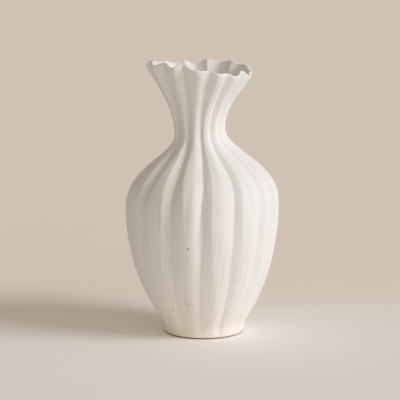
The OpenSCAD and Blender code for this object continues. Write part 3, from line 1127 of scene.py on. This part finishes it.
@dataclass
class ClayWall:
    """The fluted wall: outside, rounded lip and the inside that follows the grooves."""

    form: Form
    skin: Skin
    outside: Grid
    lip_rings: int = 9
    inside_flare_rings: int = 20
    inside_shoulder_rings: int = 14
    inside_low_rings: int = 16
    lip_unevenness: float = 0.07
    # How much clay tints the inside, a faint painted shade, and how much more clay shows round the lip
    inside_shade_tint: float = 0.02
    lip_bare: float = 0.05
    lip_reach: float = 5
    lip_waves: Waves = Waves(41, 34, 50)
    small_lip_waves: Waves = Waves(42, 90, 50)
    lip_wear: Waves = Waves(24, 60, 6)
    ragged_scars: Waves = Waves(22, 160, 3)
    fine_scars: Waves = Waves(23, 300, 1.5)
    # Pin holes at random: none in so many grooves on each side of the front, or rings at the foot and lip
    pit_seed: int = 31
    pit_count: int = 50
    plain_front: int = 3
    plain_foot: int = 3
    plain_lip: int = 6
    pit_widths: tuple = (0.35, 0.75)
    pit_depths: tuple = (0.3, 0.6)
    scars: tuple = (
        Scar(12.81, 38, 0.12, 5, 0.36),
        Scar(12.54, 42, 0.1, 3, 0.36),
        Scar(12.31, 19, 0.05, 4, 0.95),
        Scar(12.93, 52, 0.07, 2.5, 0.4),
        Scar(12.75, 42, 0.8, 24, 0.15),
        Scar(0.08, 52, 0.14, 5, 0.22),
        Scar(5.2, 40, 0.08, 5, 0.3),
        Scar(8.4, 26, 0.1, 3, 0.3),
        Scar(9.7, 64, 0.06, 6, 0.25),
    )
    # Pin holes in sight: the place in grooves, the length up the outline, the width and the depth
    shown_pits: tuple = (
        (13.58, 113, 0.95, 0.8),
        (13.61, 113, 0.85, 0.7),
        (13.58, 99.6, 0.75, 0.6),
        (13.4, 47.8, 0.95, 0.9),
        (13.43, 47.8, 0.95, 0.8),
        (13.56, 45.2, 0.95, 0.9),
        (13.59, 45.2, 0.8, 0.7),
        (1.58, 63.8, 0.7, 0.6),
        (1.38, 52.7, 0.6, 0.5),
        (13.06, 319.8, 0.9, 0.8),
        (12.99, 315.3, 0.6, 0.5),
        (0.31, 306.4, 0.5, 0.4),
        (0.78, 335.1, 0.6, 0.5),
        (1.9, 118, 0.5, 0.4),
        (11.9, 96, 0.5, 0.4),
    )

    def bare_share(self, groove: Array, climb: Array) -> Array:
        """Say how much of the clay shows through the coat.

        Args:
            groove: Places of the columns, in grooves.
            climb: Each ring's length up the outline.

        Returns:
            A share for each ring and column.
        """
        s, up = groove[None, :], climb[:, None]
        bare = self.skin.thinned(climb)
        for scar in self.scars:
            near = np.mod(s - scar.groove + GROOVES / 2, GROOVES) - GROOVES / 2
            spread = (near / scar.wide) ** 2 + ((up - scar.climb) / scar.tall) ** 2
            ragged = 1 + 0.8 * self.ragged_scars.at(s, up) + 0.5 * self.fine_scars.at(s, up)
            bare = bare + scar.strength * np.exp(-spread) * np.clip(ragged, 0, 2)
        return bare

    def pits(self, first_ring: int) -> list[Pit]:
        """Choose the pin holes: the ones that show in front, and more at random.

        Args:
            first_ring: How many of the skin's rings lie under the wall.

        Returns:
            The pin holes, at the wall's own rings.
        """
        steps, climb = self.skin.steps, self.skin.climbs()[first_ring:]
        found = [
            Pit(int(np.searchsorted(climb, up)), round(s * steps), wide, deep)
            for s, up, wide, deep in self.shown_pits
        ]
        rng = np.random.default_rng(self.pit_seed)
        for _ in range(self.pit_count):
            ring = int(rng.integers(self.plain_foot, len(climb) - self.plain_lip))
            column = int(rng.integers(self.plain_front * steps, (GROOVES - self.plain_front) * steps))
            wide, deep = float(rng.uniform(*self.pit_widths)), float(rng.uniform(*self.pit_depths))
            found.append(Pit(ring, column, wide, deep))
        return found

    def build(self) -> bpy.types.Object:
        """Build the wall's mesh.

        Returns:
            The wall, without its finish.
        """
        form, skin = self.form, self.skin
        s, first = skin.groove, skin.side_rings
        waves = self.lip_waves.at(s, 0 * s) + 0.6 * self.small_lip_waves.at(s, 0 * s)
        uneven = 1 + self.lip_unevenness * waves
        lip_t = form.lip_t * uneven
        lip = [
            form.wall(s, Curve.FLARE, [1.0], lip_t / 2 * (1 - math.cos(a)), lip_t / 2 * math.sin(a))
            for a in np.linspace(0, math.pi, self.lip_rings + 2)[1:-1]
        ]
        parts = [self.outside.points[first:], *lip]
        for curve, count in (
            (Curve.FLARE, self.inside_flare_rings),
            (Curve.SHOULDER, self.inside_shoulder_rings),
            (Curve.LOW, self.inside_low_rings),
        ):
            shares = form.even_shares(curve, count)[::-1]
            shares = shares if curve is Curve.FLARE else shares[1:]
            z = form.cubic(curve, shares)[:, 1]
            rising = ease((z - form.neck_z) / (form.rim_z - form.neck_z))[:, None]
            inset = form.thickness(z)[:, None] * (1 + (uneven[None, :] - 1) * rising)
            parts.append(form.wall(s, curve, shares, inset))
        points = np.concatenate(parts)
        climb = self.loop_climb(points, skin.climbs()[first:])
        grid = Grid(points, closed=True)
        bare = self.bare_share(s, climb)
        inner = len(self.outside.points) - first + self.lip_rings
        # The inside keeps only the faint tint of painted shade
        bare[inner:] = self.inside_shade_tint
        near_lip = np.exp(-(((climb - climb[inner]) / self.lip_reach) ** 2))[:, None]
        bare = bare + self.lip_bare * near_lip * (1 + self.lip_wear.at(s[None, :], climb[:, None]))
        # Painted shade: how deep each point lies in a groove, for the coat to darken
        height = np.clip(points[..., 2], form.edge_z, form.rim_z)
        hollow = form.pressed_in(s[None, :], height) / form.rim_groove_depth
        grid.marks = {
            Mark.FLOW: flow(s, climb, form.belly_r),
            Mark.BARE: bare,
            Mark.DIRT: np.zeros(points.shape[:2]),
            Mark.HOLLOW: hollow,
        }
        grid.normals = grid.outward()
        grid.normals[0] = self.outside.normals[first]
        return grid.piece("fluted_wall_dressed", self.pits(first))

    def loop_climb(self, points: Array, outside: Array) -> Array:
        """Carry the length up the outline on over the lip and down the inside.

        Args:
            points: The wall's rings.
            outside: The lengths of the rings outside.

        Returns:
            Each ring's length.
        """
        steps = np.linalg.norm(np.diff(points.mean(1), axis=0), axis=-1)
        rough = np.linalg.norm(np.diff(points[:, 0], axis=0), axis=-1)
        climb = np.concatenate([[0], np.cumsum(np.maximum(steps, rough))])
        climb += outside[-1] - climb[len(outside) - 1]
        climb[: len(outside)] = outside
        return climb

    def dress(self, piece: bpy.types.Object, finish: bpy.types.Material) -> None:
        """Put the chalky coat on the wall."""
        dress(piece, finish, "chalk_clay", "fluted_wall")


@dataclass
class FloorSlab:
    """The clay floor under the wall, with its foot ring and the hollow inside it."""

    form: Form
    skin: Skin
    outside: Grid
    edge_rings: int = 6
    ring_rings: int = 12
    hollow_rings: int = 18
    top_rings: int = 3
    turning_depth: float = 0.09
    turning_pitch: float = 1.7
    middle_r: float = 1.5
    # Height of the hollow's side half way out, as a share of its depth
    hollow_corner: float = 0.6
    # How far the foot ring's inner corner is rounded off
    ring_corner: float = 0.1
    # Lengths up the outline for the brush strokes, at the first and last ring underneath and on the seat
    under_climbs: tuple = (60, 2.5)
    seat_climbs: tuple = (8, 50)
    # How far past the slab's edge the coat ends underneath, how ragged and soft that line is, and how bare
    worn_start: float = 7.4
    worn_raggedness: float = 0.75
    worn_fade: float = 1.6
    worn_bare: float = 1.1
    worn_waves: Waves = Waves(25, 40, 3)

    def build(self) -> bpy.types.Object:
        """Build the slab's mesh, from the middle of the hollow out, up the side and back over the seat.

        Returns:
            The slab, without its finish.
        """
        form, s = self.form, self.skin.groove
        side = self.outside.points[: self.skin.side_rings + 1]
        turn = form.angle(s, 0 * s + form.edge_z)
        flat_r = form.edge_r - form.slab_edge_r
        hollow_r = flat_r - form.foot_ring_w
        under: list[tuple[float, float]] = []
        for r in np.linspace(self.middle_r, hollow_r - form.foot_hollow_depth, self.hollow_rings):
            wave = self.turning_depth * math.sin(2 * math.pi * r / self.turning_pitch)
            under.append((r, form.pad_t + form.foot_hollow_depth + wave))
        corner_z = form.pad_t + form.foot_hollow_depth * self.hollow_corner
        under.append((hollow_r - form.foot_hollow_depth / 2, corner_z))
        for r in np.linspace(hollow_r, flat_r, self.ring_rings):
            under.append((r, form.pad_t + (0.0 if r > hollow_r else self.ring_corner)))
        rings = [around(r, turn, z) for r, z in under]
        edge_in = np.linalg.norm(side[0][:, :2], axis=-1)
        for a in np.linspace(0, math.pi / 2, self.edge_rings + 1)[1:-1]:
            r = edge_in - form.slab_edge_r * (1 - math.sin(a))
            rings.append(around(r, turn, form.pad_t + form.slab_edge_r * (1 - math.cos(a))))
        count = len(rings)
        seat = [side[-1] * [share, share, 1] for share in np.linspace(0.96, 0.2, self.top_rings)]
        points = np.concatenate([np.array(rings), side, np.array(seat)])
        grid = Grid(points, capped=True)
        climb = np.concatenate(
            [
                -np.linspace(*self.under_climbs, count),
                self.skin.climbs()[: len(side)],
                np.linspace(*self.seat_climbs, self.top_rings),
            ]
        )
        rub = self.worn_raggedness * self.worn_waves.at(s[None, :], climb[:, None])
        worn = 1 - ease((climb[:, None] + self.worn_start + rub) / self.worn_fade)
        grid.marks = {
            Mark.FLOW: flow(s, climb, form.belly_r),
            Mark.BARE: self.skin.thinned(climb) + self.worn_bare * worn,
            Mark.DIRT: np.zeros(points.shape[:2]),
            Mark.HOLLOW: np.zeros(points.shape[:2]),
        }
        grid.normals = grid.outward()
        grid.normals[count : count + len(side)] = self.outside.normals[: len(side)]
        return grid.piece("floor_slab_dressed")

    def dress(self, piece: bpy.types.Object, finish: bpy.types.Material) -> None:
        """Put the coat on the slab; its marks leave the ring and hollow bare."""
        dress(piece, finish, "foot_clay", "floor_slab")


@dataclass
class GlazeLining:
    """The glaze inside, from the floor to the neck, with the soft wavy edge it ran to."""

    form: Form
    steps: int = 18
    low_rings: int = 24
    shoulder_rings: int = 30
    floor_rings: int = 8
    edge_wave: float = 2.2
    edge_waves: Waves = Waves(51, 20, 50)
    # How many of the top rings follow the wavy edge, and about how far they lie apart
    edge_rings: int = 4
    edge_spacing: float = 4
    sink_in: float = 0.04
    floor_wave: float = 0.04
    painted_shade_height: float = 22

    def build(self) -> bpy.types.Object:
        """Build the cup: up the outer skin, over its edge and down the inner skin to the floor.

        Returns:
            The lining, without its finish.
        """
        form = self.form
        s = np.arange(GROOVES * self.steps) / self.steps
        wave = self.edge_wave * (0.5 + 0.5 * self.edge_waves.at(s, 0 * s))
        low = form.even_shares(Curve.LOW, self.low_rings)
        high = form.even_shares(Curve.SHOULDER, self.shoulder_rings)[1:]

        def skin(glaze: float) -> Array:
            """Place the rings of one skin.

            Args:
                glaze: How far it stands in from the wall's inside.

            Returns:
                Points, one row a ring.
            """
            rings = []
            for curve, shares in ((Curve.LOW, low), (Curve.SHOULDER, high)):
                thickness = form.thickness(form.cubic(curve, shares)[:, 1])[:, None]
                rings.append(form.wall(s, curve, shares, thickness + glaze))
            return self.drawn_down(np.concatenate(rings), wave)

        outer, inner = skin(-self.sink_in), skin(form.glaze_t)
        inner[0, :, 2] = form.seat_z + form.glaze_t
        outer[0, :, 2] = form.seat_z
        edge = (outer[-1] + inner[-1]) / 2
        edge[:, 2] += form.glaze_t / 2
        floor = [
            inner[0] * [share, share, 1] + [0, 0, self.floor_wave * math.sin(9 * share)]
            for share in np.linspace(1, 0.06, self.floor_rings)[1:]
        ]
        under = [outer[0] * [share, share, 1] for share in (0.1, 0.6)]
        points = np.concatenate([np.array(under), outer, edge[None], inner[::-1], np.array(floor)])
        grid = Grid(points, capped=True)
        steps = np.linalg.norm(np.diff(points[:, 0], axis=0), axis=-1)
        climb = np.concatenate([[0], np.cumsum(steps)])
        # Painted shade: the glaze darkens towards the floor inside
        darker_glaze = np.exp(-np.maximum(points[..., 2] - form.seat_z, 0) / self.painted_shade_height)
        grid.marks = {Mark.FLOW: flow(s, climb, form.belly_r), Mark.HOLLOW: darker_glaze}
        return grid.piece("glaze_lining_dressed")

    def drawn_down(self, rings: Array, wave: Array) -> Array:
        """Pull the last rings down to the wavy edge, each less than the one over it.

        Args:
            rings: One skin's rings, from the floor up.
            wave: How far the edge comes down at each column.

        Returns:
            The rings with the edge drawn down.
        """
        drawn = rings.copy()
        for k in range(self.edge_rings):
            share = (self.edge_rings - k) / self.edge_rings * wave[:, None] / self.edge_spacing
            drawn[-1 - k] = rings[-1 - k] * (1 - share) + rings[-2 - k] * share
        return drawn

    def dress(self, piece: bpy.types.Object, finish: bpy.types.Material) -> None:
        """Glaze it."""
        dress(piece, finish, "inside_glaze", "glaze_lining")


@dataclass
class FeltPad:
    """One pressed felt pad with a soft cut edge."""

    number: int
    form: Form
    angle: float
    sides: int = 72
    face_rings: int = 7
    edge_rings: int = 7
    edge_round: float = 0.3
    waist: float = 0.05
    middle_gap: float = 0.15
    nap: float = 0.035
    first_seed: int = 60

    def build(self) -> bpy.types.Object:
        """Build the pad's mesh under the middle of the foot ring.

        Returns:
            The pad, without its finish.
        """
        form = self.form
        middle_r = form.edge_r - form.slab_edge_r - form.foot_ring_w / 2
        middle = np.array([middle_r * math.cos(self.angle), middle_r * math.sin(self.angle), 0])
        turn = np.arange(self.sides) / self.sides * 2 * math.pi
        rng = np.random.default_rng(self.first_seed + self.number)
        side: list[tuple[float, float]] = []
        soft = self.edge_round
        for r in np.linspace(self.middle_gap, form.pad_r - soft, self.face_rings):
            side.append((r, 0.0))
        for a in np.linspace(0, math.pi / 2, self.edge_rings)[1:]:
            side.append((form.pad_r - soft + soft * math.sin(a), soft * (1 - math.cos(a))))
        side.append((form.pad_r - self.waist, form.pad_t / 2))
        for a in np.linspace(math.pi / 2, 0, self.edge_rings)[:-1]:
            side.append((form.pad_r - soft + soft * math.sin(a), form.pad_t - soft * (1 - math.cos(a))))
        for r in np.linspace(form.pad_r - soft, self.middle_gap, self.face_rings):
            side.append((r, form.pad_t))
        rings = []
        for r, z in side:
            fuzz = rng.uniform(-self.nap, 0, self.sides)
            at = r + fuzz * (r > form.pad_r / 2)
            lift = 0.5 * self.nap * rng.uniform(0, 1, self.sides) * (z < form.pad_t / 2)
            rings.append(np.stack([at * np.cos(turn), at * np.sin(turn), z + lift], -1) + middle)
        return Grid(np.array(rings), capped=True).piece(f"felt_pad_{self.number}")

    def dress(self, piece: bpy.types.Object, finish: bpy.types.Material) -> None:
        """Put the felt on it."""
        dress(piece, finish, "felt", f"foot_pad_{self.number}")


@dataclass(frozen=True)
class Light:
    """A soft lamp far away: where it hangs and how wide it looks, in degrees, its strength and colour."""

    azimuth: float
    height: float
    spread: float
    strength: float
    colour: tuple


@dataclass
class Studio:
    """The plain floor, a soft lamp on the right, a weak low one in front, and the photograph's camera."""

    camera_place: tuple = (-0.0042, -1.9571, 0.5012)
    camera_pitch: float = 0.17759
    lens: float = 159.3
    sensor_width: float = 36
    key: Light = Light(70, 28, 28, 1.84, (0.84, 0.89, 1.0))
    front: Light = Light(32, 5, 50, 0.64, (1.0, 0.94, 0.78))
    fill_strength: float = 0.382
    fill_colour: tuple = (1.0, 0.88, 0.7, 1.0)
    backdrop: tuple = colour(208, 195, 179)
    floor_size: float = 30
    lamp_distance: float = 2

    def build(self) -> None:
        """Make the floor, the lights, the world and the camera."""
        self.floor()
        self.lamp("key_light", self.key)
        self.lamp("front_light", self.front)
        self.world()
        self.camera()

    def floor(self) -> None:
        """Lay the floor."""
        mesh = bpy.data.meshes.new("studio_floor")
        half = self.floor_size / 2
        corners = [(-half, -half, 0), (half, -half, 0), (half, half, 0), (-half, half, 0)]
        mesh.from_pydata(corners, [], [(0, 1, 2, 3)])
        floor = placed("studio_floor", mesh)
        mesh.materials.append(material("studio_floor", StudioFloor().paint))

    def lamp(self, name: str, light: Light) -> None:
        """Hang one soft lamp.

        Args:
            name: The lamp's name.
            light: What it is like.
        """
        lamp = bpy.data.lights.new(name, "SUN")
        lamp.energy = light.strength
        lamp.angle = math.radians(light.spread)
        lamp.color = light.colour
        hung = placed(name, lamp)
        a, e = math.radians(light.azimuth), math.radians(light.height)
        towards = Vector((math.sin(a) * math.cos(e), -math.cos(a) * math.cos(e), math.sin(e)))
        hung.rotation_euler = towards.to_track_quat("Z", "Y").to_euler()
        hung.location = towards * self.lamp_distance

    def world(self) -> None:
        """Fill the room with soft warm light, and show the backdrop's colour to the camera."""
        world = bpy.data.worlds.new("studio_room")
        world.use_nodes = True
        bpy.context.scene.world = world
        n = Nodes(world.node_tree)
        fill = n.add("ShaderNodeBackground", {}, {"Color": self.fill_colour, "Strength": self.fill_strength})
        shown = n.add("ShaderNodeBackground", {}, {"Color": self.backdrop, "Strength": 1.0})
        seen = n.add("ShaderNodeLightPath", {}, {}, "Is Camera Ray")
        both = n.add("ShaderNodeMixShader", {}, {0: seen, 1: fill, 2: shown})
        n.add("ShaderNodeOutputWorld", {}, {"Surface": both}, None)

    def camera(self) -> None:
        """Set the camera up where the photograph was taken from."""
        lens = bpy.data.cameras.new("photo_camera")
        lens.lens = self.lens
        lens.sensor_width = self.sensor_width
        camera = placed("photo_camera", lens)
        camera.location = self.camera_place
        camera.rotation_euler = (math.pi / 2 - self.camera_pitch, 0, 0)
        bpy.context.scene.camera = camera


def main() -> None:
    """Build every piece in order."""
    logging.basicConfig(level=logging.INFO, format="%(message)s")
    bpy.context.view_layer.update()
    bpy.context.scene.view_settings.view_transform = "Standard"
    form = Form()
    skin = Skin(form)
    outside = skin.build()
    coat = material("chalk_coat", ChalkCoat().paint)
    wall = ClayWall(form, skin, outside)
    wall.dress(wall.build(), coat)
    slab = FloorSlab(form, skin, outside)
    slab.dress(slab.build(), coat)
    lining = GlazeLining(form)
    lining.dress(lining.build(), material("satin_glaze", SatinGlaze().paint))
    felt = material("pressed_felt", PressedFelt().paint)
    for number, angle in enumerate(PAD_ANGLES, 1):
        pad = FeltPad(number, form, math.radians(angle))
        pad.dress(pad.build(), felt)
    Studio().build()


if __name__ == "__main__":
    main()
